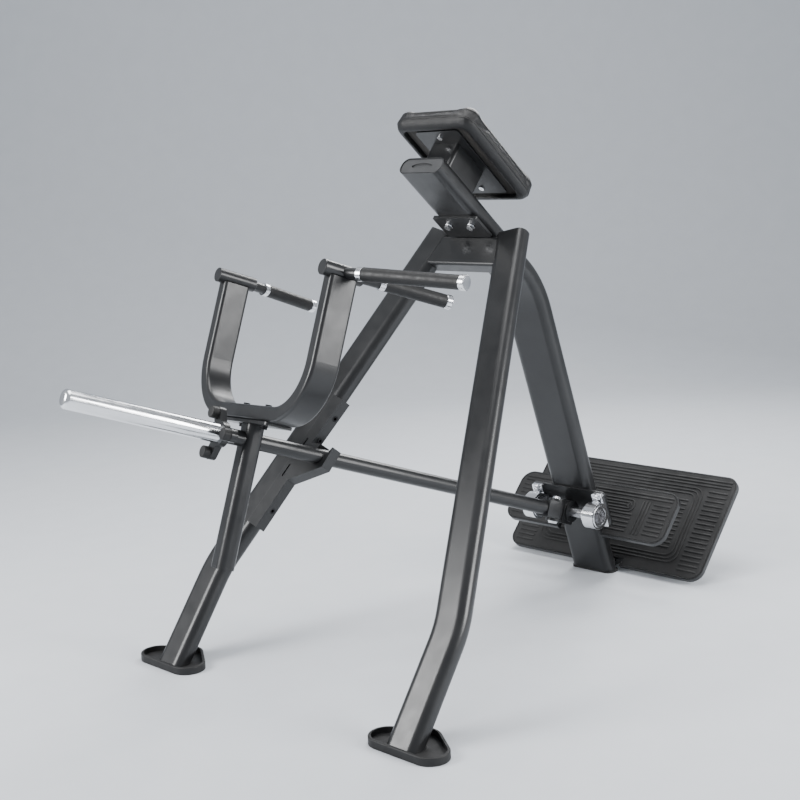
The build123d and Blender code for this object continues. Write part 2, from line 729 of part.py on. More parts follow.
with BuildPart() as large_plate_gussets:
    for side in SIDES.values():
        with BuildSketch(Plane.XZ.offset(-side * RAIL_WIDTH / 2 + side * GUSSET_THICK / 2)):
            Polygon(
                (behind_tread("large", GUSSET_START)[0], rail_top),
                behind_tread("large", GUSSET_START),
                behind_tread("large", bar_front_up),
                (bar_front, rail_top),
                align=None,
            )
        extrude(amount=GUSSET_THICK / 2, both=True)
save(large_plate_gussets, "large_plate_gussets")

bar_middle = Plane(
    origin=(REAR_BAR_X, 0, REAR_PAD_THICK + REAR_BAR_HEIGHT / 2), x_dir=(1, 0, 0), z_dir=across
)
with BuildPart() as rear_floor_bar:
    with BuildSketch(bar_middle):
        wide_section(REAR_BAR_WIDTH, REAR_BAR_HEIGHT, REAR_BAR_CORNER, TUBE_WALL)
    extrude(amount=REAR_BAR_LENGTH / 2, both=True)
save(rear_floor_bar, "rear_floor_bar")

with BuildPart() as rear_bar_caps:
    for side in SIDES.values():
        with BuildSketch(bar_middle.offset(side * REAR_BAR_LENGTH / 2)):
            RectangleRounded(REAR_BAR_WIDTH, REAR_BAR_HEIGHT, REAR_BAR_CORNER)
        extrude(amount=side * REAR_CAP_THICK)
save(rear_bar_caps, "rear_bar_caps")

with BuildPart() as rear_floor_pads:
    with BuildSketch():
        with Locations((REAR_BAR_X, 0)):
            with GridLocations(0, REAR_BAR_LENGTH - REAR_PAD_LENGTH, 1, 2):
                RectangleRounded(REAR_BAR_WIDTH, REAR_PAD_LENGTH, REAR_BAR_CORNER)
    extrude(amount=REAR_PAD_THICK)
save(rear_floor_pads, "rear_floor_pads")

large_underside = tread_planes["large"].offset(tray_back)
with BuildPart() as rear_uprights:
    with BuildSketch(Plane.XY.offset(bar_top)):
        with Locations((REAR_BAR_X, 0)):
            with GridLocations(0, UPRIGHT_SPREAD, 1, 2):
                wide_section(UPRIGHT_SIZE, UPRIGHT_SIZE, UPRIGHT_CORNER, TUBE_WALL)
    extrude(amount=LARGE_PLATE_LENGTH)
    split(bisect_by=large_underside, keep=Keep.TOP)
save(rear_uprights, "rear_uprights")

# ---------------------------------------------------------------- rest hook
# The hook is drawn from where the lever crosses the middle of its thickness.
hook_front = frame_front.offset(-HOOK_PLATE_THICK)
hook_mid = frame_front.offset((HOOK_BAR_DEPTH - HOOK_PLATE_THICK) / 2)
lever_cross = (hook_mid.origin - swivel).dot(frame_back) / lever_ahead.dot(frame_back)
lever_on_hook = frame_plane.to_local_coords(swivel + lever_ahead * lever_cross)
bar_inner = leg_side + HOOK_BAR_WIDTH
bar_half = HOOK_BAR_LENGTH / 2
spread = radians(LEG_SPREAD)


def from_lever(reach, rise):
    """Point on the leg plane, inward and up from the lever's centre."""
    return (lever_on_hook.X - reach, lever_on_hook.Y + rise)


def from_leg(out, along):
    """Point on the leg plane, out from and along the right leg's centre line."""
    return (
        leg_middle(HOOK_MIDDLE) + out * cos(spread) - along * sin(spread),
        HOOK_MIDDLE + out * sin(spread) + along * cos(spread),
    )


def hook_outline(outer):
    """The bar beside the leg with the hook that stands out of it."""
    Polygon(
        from_leg(outer, -bar_half),
        from_leg(outer, bar_half),
        from_leg(-bar_inner, bar_half),
        from_lever(*HOOK_SHOULDER),
        from_lever(0, HOOK_SHOULDER[1]),
        from_lever(*HOOK_TIP),
        from_lever(*HOOK_TOE),
        from_lever(*HOOK_HEEL),
        from_leg(-bar_inner, -bar_half),
        align=None,
    )


seat_radius = LEVER_RADIUS + SEAT_CLEARANCE


def cut_seat():
    """Room for the lever, from its seat up and inward."""
    with BuildSketch(lever_plane(lever_cross - SEAT_EXIT_LENGTH)) as opening:
        with Locations(Rotation(0, 0, 90 - SEAT_EXIT_TILT)):
            with Locations((SEAT_EXIT_LENGTH / 2, 0)):
                SlotCenterToCenter(SEAT_EXIT_LENGTH, 2 * seat_radius)
    extrude(opening.sketch, amount=2 * SEAT_EXIT_LENGTH, mode=Mode.SUBTRACT)


with BuildPart() as hook_plate:
    with BuildSketch(hook_front):
        hook_outline(-leg_side + HOOK_LIP)
    extrude(amount=HOOK_PLATE_THICK)
    cut_seat()
    with BuildSketch(place(right_leg_plane, 0, 0, -LEG_DEPTH / 2 - HOOK_PLATE_THICK)):
        with Locations([(-leg_side, along) for along in HOOK_SLOTS]):
            SlotOverall(SLOT_LENGTH, SLOT_WIDTH, rotation=90)
    extrude(amount=HOOK_PLATE_THICK, mode=Mode.SUBTRACT)
save(hook_plate, "hook_plate")

with BuildPart() as rest_hook:
    with BuildSketch(frame_front):
        hook_outline(-leg_side)
    extrude(amount=HOOK_BAR_DEPTH)
    add(leg_cores["right"], mode=Mode.SUBTRACT)
    cut_seat()
    with BuildSketch(hook_bolt_plane):
        with Locations([(along, 0) for along in HOOK_BOLTS]):
            Circle(M10[0])
    extrude(amount=-HOOK_BAR_WIDTH - TUBE_CORNER, mode=Mode.SUBTRACT)
    with BuildSketch(hook_bolt_plane):
        with Locations([(along, 0) for along in HOOK_BOLTS]):
            Circle(M10[1])
    extrude(amount=-HOOK_BOLT_SINK, mode=Mode.SUBTRACT)
save(rest_hook, "rest_hook")

with BuildPart() as hook_bolts:
    for along in HOOK_BOLTS:
        seat = place(hook_bolt_plane, along, 0, -HOOK_BOLT_SINK)
        with BuildSketch(seat):
            Circle(M10[0])
        extrude(amount=-(HOOK_BAR_WIDTH - HOOK_BOLT_SINK) - TUBE_CORNER / 2)
        with BuildSketch(seat):
            Circle(M10[1] - RUNNING_CLEARANCE)
            RegularPolygon(M10[0], 6, mode=Mode.SUBTRACT)
        extrude(amount=HOOK_BOLT_SINK - SOCKET_BELOW_FACE)
save(hook_bolts, "hook_bolts")

# ---------------------------------------------------------------- axle and knuckle
race_end = BEARING_SPREAD / 2 - INNER_RACE_WIDTH / 2
with BuildPart() as axle:
    with BuildSketch(pivot_plane):
        Circle(AXLE_RADIUS)
    extrude(amount=AXLE_LENGTH / 2, both=True)
    for side in SIDES.values():
        with BuildSketch(pivot_plane.offset(side * AXLE_LENGTH / 2)):
            RegularPolygon(AXLE_SOCKET, 6)
        extrude(amount=-side * AXLE_SOCKET, mode=Mode.SUBTRACT)
save(axle, "axle")

with BuildPart() as bearing_inner_races:
    for side in SIDES.values():
        with BuildSketch(pivot_plane.offset(side * BEARING_SPREAD / 2)):
            Circle(RACE_SPLIT)
            Circle(AXLE_RADIUS, mode=Mode.SUBTRACT)
        extrude(amount=INNER_RACE_WIDTH / 2, both=True)
save(bearing_inner_races, "bearing_inner_races")

with BuildPart() as axle_collars:
    for side in SIDES.values():
        with BuildSketch(pivot_plane.offset(side * race_end)):
            Circle(COLLAR_RADIUS)
            Circle(AXLE_RADIUS, mode=Mode.SUBTRACT)
        extrude(amount=-side * COLLAR_WIDTH)
save(axle_collars, "axle_collars")

block_half = END_BLOCK_HEIGHT / 2
ear_inside = block_half + BODY_CLEARANCE
with BuildPart() as knuckle:
    with BuildSketch(pivot_plane):
        Circle(KNUCKLE_RADIUS)
    extrude(amount=KNUCKLE_WIDTH / 2, both=True)
    with BuildSketch(swivel_plane(-ear_inside - EAR_THICK, knuckle_ahead)):
        Circle(EAR_WIDTH / 2)
        with Locations((-PIN_AHEAD / 2, 0)):
            Rectangle(PIN_AHEAD, EAR_WIDTH)
        with Locations((-PIN_AHEAD, 0)):
            Rectangle(2 * KNUCKLE_SHOULDER, EAR_WIDTH)
    extrude(amount=2 * (ear_inside + EAR_THICK))
    with BuildSketch(pivot_plane):
        Circle(AXLE_RADIUS)
    extrude(amount=KNUCKLE_WIDTH, both=True, mode=Mode.SUBTRACT)
    with BuildSketch(swivel_plane(-ear_inside, knuckle_ahead)):
        Circle(END_BLOCK_WIDTH / 2 + POCKET_GAP)
        with Locations((PIN_AHEAD / 2, 0)):
            Rectangle(PIN_AHEAD, 2 * END_BLOCK_WIDTH)
    extrude(amount=2 * ear_inside, mode=Mode.SUBTRACT)
    with BuildSketch(swivel_plane(-2 * END_BLOCK_HEIGHT, knuckle_ahead)):
        Circle(PIN_RADIUS)
    extrude(amount=4 * END_BLOCK_HEIGHT, mode=Mode.SUBTRACT)
save(knuckle, "knuckle")

pin_half = ear_inside + EAR_THICK
with BuildPart() as swivel_pin:
    with BuildSketch(swivel_plane(0)):
        Circle(PIN_RADIUS)
    extrude(amount=pin_half, both=True)
    for end in (-1, 1):
        with BuildSketch(swivel_plane(end * pin_half)):
            Circle(PIN_HEAD_RADIUS)
        extrude(amount=end * PIN_HEAD_HEIGHT, taper=PIN_HEAD_TAPER)
save(swivel_pin, "swivel_pin")

# ---------------------------------------------------------------- lever
with BuildPart() as lever_end_block:
    with BuildSketch(swivel_plane(0)):
        Circle(END_BLOCK_WIDTH / 2)
        with Locations((END_BLOCK_REACH / 2, 0)):
            Rectangle(END_BLOCK_REACH, END_BLOCK_WIDTH)
        Circle(PIN_RADIUS + RUNNING_CLEARANCE, mode=Mode.SUBTRACT)
    extrude(amount=block_half, both=True)
save(lever_end_block, "lever_end_block")

with BuildPart() as lever_tube:
    with BuildSketch(lever_plane(END_BLOCK_REACH)):
        Circle(LEVER_RADIUS)
        Circle(LEVER_RADIUS - LEVER_WALL, mode=Mode.SUBTRACT)
    extrude(amount=FLANGE_AT - END_BLOCK_REACH)
save(lever_tube, "lever_tube")

post_bottom = Plane(
    origin=swivel + lever_ahead * YOKE_AT - knuckle_up * STOP_POST_DROP,
    x_dir=lever_side,
    z_dir=knuckle_up,
)
with BuildPart() as stop_post:
    with BuildSketch(post_bottom):
        wide_section(STOP_POST_WIDTH, STOP_POST_DEPTH, STOP_POST_CORNER, TUBE_WALL)
    extrude(amount=STOP_POST_DROP + STOP_POST_TOP)
    with BuildSketch(lever_plane(YOKE_AT)):
        Circle(LEVER_RADIUS)
    extrude(amount=STOP_POST_DEPTH, both=True, mode=Mode.SUBTRACT)
save(stop_post, "stop_post")

with BuildPart() as stop_post_cap:
    with BuildSketch(post_bottom):
        RectangleRounded(STOP_POST_WIDTH, STOP_POST_DEPTH, STOP_POST_CORNER)
    extrude(amount=-STOP_CAP_THICK)
save(stop_post_cap, "stop_post_cap")

# ---------------------------------------------------------------- yoke
yoke_deck = post_bottom.offset(STOP_POST_DROP + STOP_POST_TOP)
with BuildPart() as yoke_plate:
    with BuildSketch(yoke_deck):
        RectangleRounded(YOKE_PLATE_LENGTH, YOKE_PLATE_WIDTH, YOKE_PLATE_CORNER)
        with GridLocations(YOKE_BOLT_SPREAD, 0, 2, 1):
            Circle(M10[0], mode=Mode.SUBTRACT)
    extrude(amount=YOKE_PLATE_THICK)
save(yoke_plate, "yoke_plate")

yoke_plane = lever_plane(YOKE_AT)
yoke_low = STOP_POST_TOP + YOKE_PLATE_THICK + YOKE_TUBE_DEPTH / 2
boss_spots = {name: (-side * YOKE_SPAN / 2, BOSS_UP) for name, side in SIDES.items()}


def handle_plane(name, handle, along):
    """Across a handle, this far out from the boss's centre."""
    angle = radians(HANDLES[handle][0])
    out = lever_side * -SIDES[name]
    heading = out * sin(angle) - lever_ahead * cos(angle)
    origin = yoke_plane.from_local_coords(Vector(*boss_spots[name], 0))
    return Plane(origin=origin + heading * along, x_dir=knuckle_up, z_dir=heading)


tube_ends = {name: (-side * YOKE_SPAN / 2, BOSS_UP - HANDLE_RADIUS) for name, side in SIDES.items()}

with BuildPart() as yoke_tube:
    # the tube stops under the handle tubes and is notched to fit its bosses
    with BuildLine(yoke_plane) as yoke_path:
        FilletPolyline(
            tube_ends["left"],
            (tube_ends["left"][0], yoke_low),
            (tube_ends["right"][0], yoke_low),
            tube_ends["right"],
            radius=YOKE_BEND_RADIUS,
        )
    with BuildSketch(
        Plane(
            origin=yoke_plane.from_local_coords(Vector(*tube_ends["left"], 0)),
            x_dir=lever_ahead,
            z_dir=-knuckle_up,
        )
    ):
        wide_section(YOKE_TUBE_WIDTH, YOKE_TUBE_DEPTH, YOKE_TUBE_CORNER, TUBE_WALL)
    sweep(path=yoke_path.wire())
    with BuildSketch(yoke_plane):
        with Locations(*boss_spots.values()):
            Circle(BOSS_RADIUS)
    extrude(amount=BOSS_LENGTH, both=True, mode=Mode.SUBTRACT)
    with BuildSketch(yoke_deck.offset(YOKE_PLATE_THICK)):
        with GridLocations(YOKE_BOLT_SPREAD, 0, 2, 1):
            Circle(M10[0])
    extrude(amount=YOKE_TUBE_DEPTH, mode=Mode.SUBTRACT)
save(yoke_tube, "yoke_tube")

with BuildPart() as yoke_bolts:
    for end in (-1, 1):
        under = place(yoke_deck, end * YOKE_BOLT_SPREAD / 2)
        hex_bolt(
            Plane(origin=under.origin, x_dir=under.x_dir, z_dir=-under.z_dir),
            M10,
            YOKE_PLATE_THICK + YOKE_TUBE_DEPTH,
            nut=True,
        )
save(yoke_bolts, "yoke_bolts")

with BuildPart() as yoke_bosses:
    with BuildSketch(yoke_plane):
        with Locations(*boss_spots.values()):
            Circle(BOSS_RADIUS)
    extrude(amount=BOSS_LENGTH / 2, both=True)
    ends = yoke_bosses.edges().filter_by(GeomType.CIRCLE)
    chamfer(ends, BOSS_CHAMFER)
save(yoke_bosses, "yoke_bosses")

# ---------------------------------------------------------------- handles

for name in SIDES:
    with BuildPart() as handle_tubes:
        for handle in ("wide", "narrow"):
            length = HANDLES[handle][2] - GRIP_CAP_LENGTH
            with BuildSketch(handle_plane(name, handle, 0)):
                Circle(HANDLE_RADIUS)
            extrude(amount=length)
            with BuildSketch(handle_plane(name, handle, HANDLES[handle][1])):
                Circle(HANDLE_RADIUS - HANDLE_WALL)
            extrude(amount=length - HANDLES[handle][1], mode=Mode.SUBTRACT)
        with BuildSketch(yoke_plane):
            with Locations(boss_spots[name]):
                Circle(BOSS_RADIUS)
        extrude(amount=BOSS_LENGTH / 2, both=True, mode=Mode.SUBTRACT)
    save(handle_tubes, f"{name}_handle_tubes")

    for handle, (angle, ring_start, end) in HANDLES.items():
        grip_start = ring_start + GRIP_RING_LENGTH
        with BuildPart() as grip:
            with BuildSketch(handle_plane(name, handle, grip_start)):
                Circle(GRIP_RADIUS)
                Circle(HANDLE_RADIUS, mode=Mode.SUBTRACT)
            extrude(amount=end - GRIP_CAP_LENGTH - grip_start)
        save(grip, f"{name}_{handle}_grip")

with BuildPart() as grip_rings:
    for name in SIDES:
        for handle, (angle, ring_start, end) in HANDLES.items():
            with BuildSketch(handle_plane(name, handle, ring_start)):
                Circle(GRIP_RING_RADIUS)
                Circle(HANDLE_RADIUS, mode=Mode.SUBTRACT)
            extrude(amount=GRIP_RING_LENGTH)
save(grip_rings, "grip_rings")

with BuildPart() as grip_caps:
    for name in SIDES:
        for handle, (angle, ring_start, end) in HANDLES.items():
            with BuildSketch(handle_plane(name, handle, end - GRIP_CAP_LENGTH)):
                Circle(GRIP_CAP_RADIUS)
            extrude(amount=GRIP_CAP_LENGTH)
    rims = grip_caps.edges().filter_by(GeomType.CIRCLE)
    chamfer(rims, BOSS_CHAMFER)
save(grip_caps, "grip_caps")

# ---------------------------------------------------------------- weight sleeve
sleeve_start = FLANGE_AT + FLANGE_THICK
with BuildPart() as sleeve_flange:
    with BuildSketch(lever_plane(FLANGE_AT)):
        Circle(FLANGE_HUB_RADIUS)
        with PolarLocations(FLANGE_LOBE_REACH / 2, 3):
            SlotCenterToCenter(FLANGE_LOBE_REACH, 2 * FLANGE_LOBE_RADIUS)
    extrude(amount=FLANGE_THICK)
save(sleeve_flange, "sleeve_flange")

with BuildPart() as flange_bumpers:
    with BuildSketch(lever_plane(sleeve_start)):
        with PolarLocations(FLANGE_LOBE_REACH, 3):
            Circle(BUMPER_RADIUS)
    extrude(amount=BUMPER_HEIGHT)
    outer_rims = flange_bumpers.edges().filter_by(GeomType.CIRCLE)
    fillet(outer_rims.sort_by(Axis(swivel, lever_ahead))[-3:], BUMPER_EDGE)
save(flange_bumpers, "flange_bumpers")

with BuildPart() as weight_sleeve:
    with BuildSketch(lever_plane(sleeve_start)):
        Circle(SLEEVE_RADIUS)
    extrude(amount=SLEEVE_LENGTH)
    tip = weight_sleeve.edges().filter_by(GeomType.CIRCLE).sort_by(Axis(swivel, lever_ahead))[-1]
    fillet(tip, SLEEVE_END_ROUND)
    with BuildSketch(lever_plane(sleeve_start)):
        Circle(SLEEVE_RADIUS - SLEEVE_WALL)
    extrude(amount=SLEEVE_LENGTH - SLEEVE_END_ROUND, mode=Mode.SUBTRACT)
save(weight_sleeve, "weight_sleeve")
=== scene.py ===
import json
import math

import bmesh
import bpy
from mathutils import Matrix, Vector
from mathutils.bvhtree import BVHTree


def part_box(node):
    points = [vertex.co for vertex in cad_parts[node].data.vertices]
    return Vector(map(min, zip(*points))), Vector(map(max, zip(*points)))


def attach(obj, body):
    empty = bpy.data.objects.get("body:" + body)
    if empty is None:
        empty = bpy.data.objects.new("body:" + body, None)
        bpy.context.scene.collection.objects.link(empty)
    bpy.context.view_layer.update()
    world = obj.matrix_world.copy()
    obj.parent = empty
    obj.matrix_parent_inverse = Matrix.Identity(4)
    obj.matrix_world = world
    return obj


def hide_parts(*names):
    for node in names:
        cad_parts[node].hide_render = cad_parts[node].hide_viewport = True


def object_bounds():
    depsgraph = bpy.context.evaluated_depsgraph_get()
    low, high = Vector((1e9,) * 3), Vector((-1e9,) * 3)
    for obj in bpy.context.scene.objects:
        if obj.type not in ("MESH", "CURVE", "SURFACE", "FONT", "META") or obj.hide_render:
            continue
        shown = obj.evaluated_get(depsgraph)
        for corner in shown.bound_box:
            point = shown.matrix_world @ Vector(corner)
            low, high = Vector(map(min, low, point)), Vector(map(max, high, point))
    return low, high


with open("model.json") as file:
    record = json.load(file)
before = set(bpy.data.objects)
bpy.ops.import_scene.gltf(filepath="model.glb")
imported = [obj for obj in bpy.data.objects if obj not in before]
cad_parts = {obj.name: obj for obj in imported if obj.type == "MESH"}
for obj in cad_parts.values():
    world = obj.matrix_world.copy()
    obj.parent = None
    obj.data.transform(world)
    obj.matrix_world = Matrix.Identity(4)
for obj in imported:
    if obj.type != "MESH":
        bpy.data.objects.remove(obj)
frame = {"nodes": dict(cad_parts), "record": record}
cad_low, cad_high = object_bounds()
nodes = frame["nodes"]

# ------------------------------------------------------------ directions
# Metres, in the machine's own frame: +X to the foot plates, +Y to the user's right.
TREAD_RISE = math.radians(45.9)
NECK_RISE = math.radians(40.0)
LEVER_PITCH = math.radians(20.6)
LEVER_SWING = math.radians(13.5)

across = Vector((0, 1, 0))
tread_up = Vector((math.cos(TREAD_RISE), 0, math.sin(TREAD_RISE)))
tread_out = Vector((-math.sin(TREAD_RISE), 0, math.cos(TREAD_RISE)))
neck_up = Vector((-math.cos(NECK_RISE), 0, math.sin(NECK_RISE)))
neck_out = Vector((math.sin(NECK_RISE), 0, math.cos(NECK_RISE)))
knuckle_up = Vector((math.sin(LEVER_PITCH), 0, math.cos(LEVER_PITCH)))
knuckle_ahead = Vector((-math.cos(LEVER_PITCH), 0, math.sin(LEVER_PITCH)))
lever_ahead = knuckle_ahead * math.cos(LEVER_SWING) + across * math.sin(LEVER_SWING)


def middle(node):
    low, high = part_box(node)
    return (low + high) / 2


# ------------------------------------------------------------ materials
def link(tree, source, target):
    tree.links.new(source, target)


def noise(tree, coords, scale, detail=3.0):
    """A noise texture on the object's own coordinates, scale in features per metre."""
    node = tree.nodes.new("ShaderNodeTexNoise")
    node.inputs["Scale"].default_value = scale
    node.inputs["Detail"].default_value = detail
    link(tree, coords, node.inputs["Vector"])
    return node.outputs["Fac"]


def remap(tree, value, low, high, start=0.3, end=0.7):
    node = tree.nodes.new("ShaderNodeMapRange")
    node.inputs["From Min"].default_value = start
    node.inputs["From Max"].default_value = end
    node.inputs["To Min"].default_value = low
    node.inputs["To Max"].default_value = high
    link(tree, value, node.inputs["Value"])
    return node.outputs["Result"]


def blend_colours(tree, fac, first, second):
    node = tree.nodes.new("ShaderNodeMix")
    node.data_type = "RGBA"
    node.inputs["A"].default_value = (*first, 1)
    node.inputs["B"].default_value = (*second, 1)
    link(tree, fac, node.inputs["Factor"])
    return node.outputs["Result"]


def bump(tree, height, depth, normal=None):
    node = tree.nodes.new("ShaderNodeBump")
    node.inputs["Strength"].default_value = 1.0
    node.inputs["Distance"].default_value = depth
    link(tree, height, node.inputs["Height"])
    if normal is not None:
        link(tree, normal, node.inputs["Normal"])
    return node.outputs["Normal"]


def soft_edges(tree, radius):
    node = tree.nodes.new("ShaderNodeBevel")
    node.samples = 4
    node.inputs["Radius"].default_value = radius
    return node.outputs["Normal"]


def new_material(name):
    material = bpy.data.materials.new(name)
    material.use_nodes = True
    tree = material.node_tree
    shader = tree.nodes["Principled BSDF"]
    coords = tree.nodes.new("ShaderNodeTexCoord").outputs["Object"]
    return material, tree, shader, coords


def coated(name, dark, light, rough, grain, depth, metallic=0.0, edge=0.0, mottle=9.0, coat=0.0):
    """Colour and roughness drift over `mottle`; the surface has a grain of its own."""
    material, tree, shader, coords = new_material(name)
    drift = noise(tree, coords, mottle, 5.0)
    fine = noise(tree, coords, grain, 2.0)
    link(tree, blend_colours(tree, remap(tree, drift, 0, 1), dark, light), shader.inputs["Base Color"])
    link(tree, remap(tree, noise(tree, coords, mottle * 3, 6.0), *rough), shader.inputs["Roughness"])
    shader.inputs["Metallic"].default_value = metallic
    shader.inputs["Coat Weight"].default_value = coat
    shader.inputs["Coat Roughness"].default_value = 0.22
    rounded = soft_edges(tree, edge) if edge else None
    link(tree, bump(tree, fine, depth, rounded), shader.inputs["Normal"])
    return material


def brushed(name, dark, light, rough, direction):
    """Metal with fine lines drawn out along one direction."""
    material, tree, shader, coords = new_material(name)
    stretch = tree.nodes.new("ShaderNodeMapping")
    stretch.inputs["Scale"].default_value = direction
    link(tree, coords, stretch.inputs["Vector"])
    lines = noise(tree, stretch.outputs["Vector"], 260.0, 3.0)
    link(tree, blend_colours(tree, remap(tree, lines, 0, 1), dark, light), shader.inputs["Base Color"])
    link(tree, remap(tree, lines, *rough), shader.inputs["Roughness"])
    shader.inputs["Metallic"].default_value = 1.0
    link(tree, bump(tree, lines, 0.00002, soft_edges(tree, 0.0006)), shader.inputs["Normal"])
    return material


def leather(name):
    material, tree, shader, coords = new_material(name)
    cells = tree.nodes.new("ShaderNodeTexVoronoi")
    cells.feature = "DISTANCE_TO_EDGE"
    cells.inputs["Scale"].default_value = 620.0
    link(tree, coords, cells.inputs["Vector"])
    pebbles = remap(tree, cells.outputs["Distance"], 0, 1, 0.0, 0.25)
    creases = noise(tree, coords, 60.0, 6.0)
    drift = noise(tree, coords, 14.0, 4.0)
    colour = blend_colours(tree, remap(tree, drift, 0, 1), (0.0022, 0.0022, 0.0025), (0.0055, 0.0055, 0.006))
    link(tree, colour, shader.inputs["Base Color"])
    link(tree, remap(tree, creases, 0.34, 0.5), shader.inputs["Roughness"])
    wrinkled = bump(tree, creases, 0.0006)
    link(tree, bump(tree, pebbles, 0.00016, wrinkled), shader.inputs["Normal"])
    return material


def board(name):
    """Stained ply, its grain drawn out along the pad."""
    material, tree, shader, coords = new_material(name)
    stretch = tree.nodes.new("ShaderNodeMapping")
    stretch.inputs["Scale"].default_value = (1.0, 9.0, 1.0)
    link(tree, coords, stretch.inputs["Vector"])
    grain = noise(tree, stretch.outputs["Vector"], 40.0, 6.0)
    colour = blend_colours(tree, remap(tree, grain, 0, 1), (0.012, 0.011, 0.01), (0.045, 0.04, 0.036))
    link(tree, colour, shader.inputs["Base Color"])
    shader.inputs["Roughness"].default_value = 0.7
    link(tree, bump(tree, grain, 0.0003), shader.inputs["Normal"])
    return material


finishes = {
    "frame_paint": coated("powder_coat", (0.012, 0.0125, 0.0135), (0.019, 0.0195, 0.0205), (0.3, 0.42),
                          900.0, 0.00005, metallic=0.25, edge=0.0016, coat=0.25),
    "chrome": coated("chrome_plate", (0.82, 0.83, 0.85), (0.92, 0.93, 0.95), (0.12, 0.24),
                     700.0, 0.000006, metallic=1.0, edge=0.0007),
    "bearing_steel": brushed("ground_steel", (0.3, 0.3, 0.31), (0.5, 0.5, 0.52), (0.22, 0.4), (1, 0.1, 1)),
    "black_bolt": coated("black_oxide", (0.02, 0.02, 0.022), (0.045, 0.045, 0.048), (0.3, 0.5),
                         900.0, 0.00004, metallic=0.9, edge=0.0005),
    "foot_rubber": coated("moulded_rubber", (0.005, 0.005, 0.0053), (0.01, 0.01, 0.0105), (0.5, 0.7),
                          1100.0, 0.0001, edge=0.0008),
    "grip_rubber": coated("grip_sleeve", (0.002, 0.002, 0.0022), (0.005, 0.005, 0.0055), (0.42, 0.6),
                          1500.0, 0.00015, edge=0.0006, mottle=30.0),
    "cap_plastic": coated("cap_plastic", (0.05, 0.051, 0.053), (0.075, 0.076, 0.078), (0.35, 0.5),
                          1200.0, 0.00005, edge=0.001),
    "pad_board": board("stained_board"),
    "pad_cover": leather("upholstery_leather"),
}

for entry in frame["record"]["subparts"]:
    mesh = nodes[entry["node"]].data
    mesh.materials.clear()
    mesh.materials.append(finishes[entry["material_slot"]])


# ------------------------------------------------------------ mesh helpers
def new_piece(name, bm, slot, body):
    mesh = bpy.data.meshes.new(name)
    bmesh.ops.recalc_face_normals(bm, faces=bm.faces)
    bm.to_mesh(mesh)
    bm.free()
    piece = bpy.data.objects.new(name, mesh)
    bpy.context.scene.collection.objects.link(piece)
    mesh.materials.append(finishes[slot])
    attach(piece, body)
    return piece


def soften(piece, width, segments=2):
    """Rounds the piece's edges and shades it smooth."""
    bevel = piece.modifiers.new("bevel", "BEVEL")
    bevel.width = width
    bevel.segments = segments
    bevel.limit_method = "ANGLE"
    for face in piece.data.polygons:
        face.use_smooth = True


def axes(origin, right, up, out):
    """A matrix from local right, up, out to the machine's frame."""
    matrix = Matrix((right, up, out)).transposed().to_4x4()
    matrix.translation = origin
    return matrix


def add_bar(bm, plane, u, v, width, height, rise):
    """A raised bar centred at u, v on the plane, standing `rise` out of it."""
    place = plane @ Matrix.Translation((u, v, rise / 2))
    place = place @ Matrix.Diagonal((width, height, rise, 1))
    bmesh.ops.create_cube(bm, size=1, matrix=place)


def rounded_outline(width, height, corner, steps=6):
    points = []
    for turn, (side, end) in enumerate(((1, 1), (-1, 1), (-1, -1), (1, -1))):
        for step in range(steps + 1):
            angle = math.radians(90) * (turn + step / steps)
            points.append((
                side * (width / 2 - corner) + corner * math.cos(angle),
                end * (height / 2 - corner) + corner * math.sin(angle),
            ))
    return points


def add_ring(bm, plane, u, v, width, height, corner, line, rise):
    """A raised line round a rounded rectangle."""
    outer = rounded_outline(width, height, corner)
    inner = rounded_outline(width - 2 * line, height - 2 * line, corner - line)
    rows = []
    for outline, level in ((outer, 0), (outer, rise), (inner, rise), (inner, 0)):
        rows.append([bm.verts.new(plane @ Vector((u + x, v + y, level))) for x, y in outline])
    count = len(outer)
    for row in range(4):
        here, after = rows[row], rows[(row + 1) % 4]
        for i in range(count):
            j = (i + 1) % count
            bm.faces.new((here[i], here[j], after[j], after[i]))


def add_disc(bm, plane, radius, depth, sides):
    """A short solid of `sides` sides standing on the plane."""
    place = plane @ Matrix.Translation((0, 0, depth / 2))
    bmesh.ops.create_cone(bm, cap_ends=True, segments=sides, radius1=radius, radius2=radius,
                          depth=depth, matrix=place)


# ------------------------------------------------------------ foot mat ribs
MAT_THICK = 0.009
RIB_RISE = 0.0022
RIB_WIDE = 0.0055
EDGE_MARGIN = 0.014
RIB_EDGE = 0.0007
LINE_WIDE = RIB_WIDE * 0.8
LINE_STEP = 0.011
LINE_COUNT = 3

# each column: middle of the ribs in from the mat's side, and their width
LARGE_OUTER = (0.048, 0.066)
LARGE_INNER = (0.16, 0.046)
LARGE_INNER_START = 0.08
LARGE_INNER_BELOW_TOP = 0.042
LARGE_RINGS_START = 0.036
LARGE_RING_INSETS = (0.19, 0.39)
LARGE_RING_CORNERS = (0.034, 0.028)
LARGE_INNER_RING_SHORTER = 0.09
SMALL_OUTER = (0.044, 0.058)
SMALL_LINES_IN = 0.088
SMALL_INNER_SIDE = 0.125
SMALL_INNER_GAP = 0.14
SMALL_RING_INSET = 0.27
SMALL_RING_CORNER = 0.018
SMALL_RING_STEP = 0.010
NOTCH_HALF = 0.07
NOTCH_HIGH = 0.086


def mat_plane(node):
    """The tread surface, from the middle of its lower edge, and its width and length."""
    low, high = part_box(node)
    length = (high.z - low.z - MAT_THICK * math.cos(TREAD_RISE)) / math.sin(TREAD_RISE)
    origin = Vector((low.x, 0, high.z - length * math.sin(TREAD_RISE)))
    return axes(origin, across, tread_up, tread_out), high.y - low.y, length


